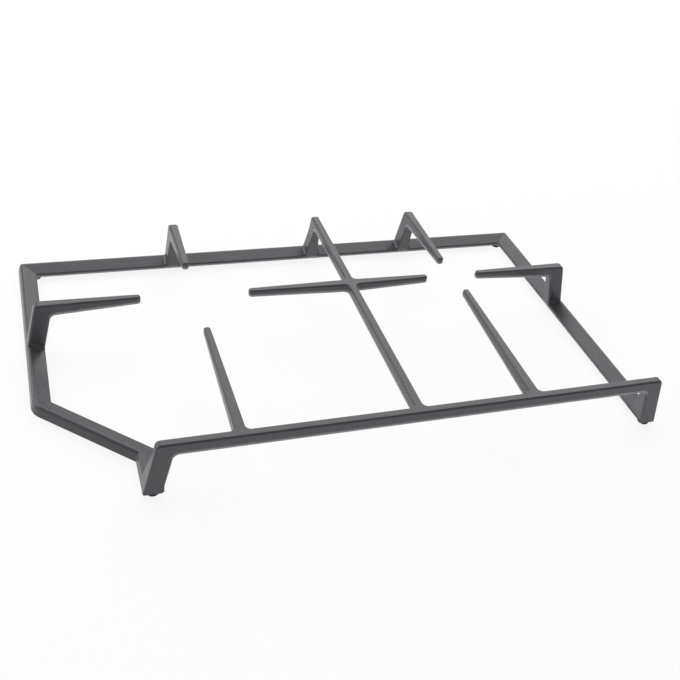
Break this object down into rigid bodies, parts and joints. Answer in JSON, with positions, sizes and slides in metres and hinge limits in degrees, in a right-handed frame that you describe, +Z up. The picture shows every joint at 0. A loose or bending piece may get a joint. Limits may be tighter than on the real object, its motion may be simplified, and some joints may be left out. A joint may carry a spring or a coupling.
{
  "type": "hob pan support",
  "caption": "Enamelled cast-iron pan support for one half of a gas hob: low splayed ring, uprights, tapered fingers round a large and a small burner, push-in rubber feet.",
  "frame": {"origin": "on the hob surface, under the middle of the bounding box", "axes": "+X along the long side from the large burner to the small one, +Y from the open front bar to the back of the ring, +Z up"},
  "size_m": [0.474, 0.2796, 0.047],
  "materials": {
    "enamelled_cast_iron": "matt dark grey enamel with a fine sand-cast grain",
    "foot_rubber": "matt black moulded rubber"
  },
  "bodies": {
    "root": {"grate": "enamelled_cast_iron", "foot_front_left": "foot_rubber", "foot_front_right": "foot_rubber", "foot_rear_left": "foot_rubber", "foot_rear_right": "foot_rubber"}
  },
  "joints": []
}
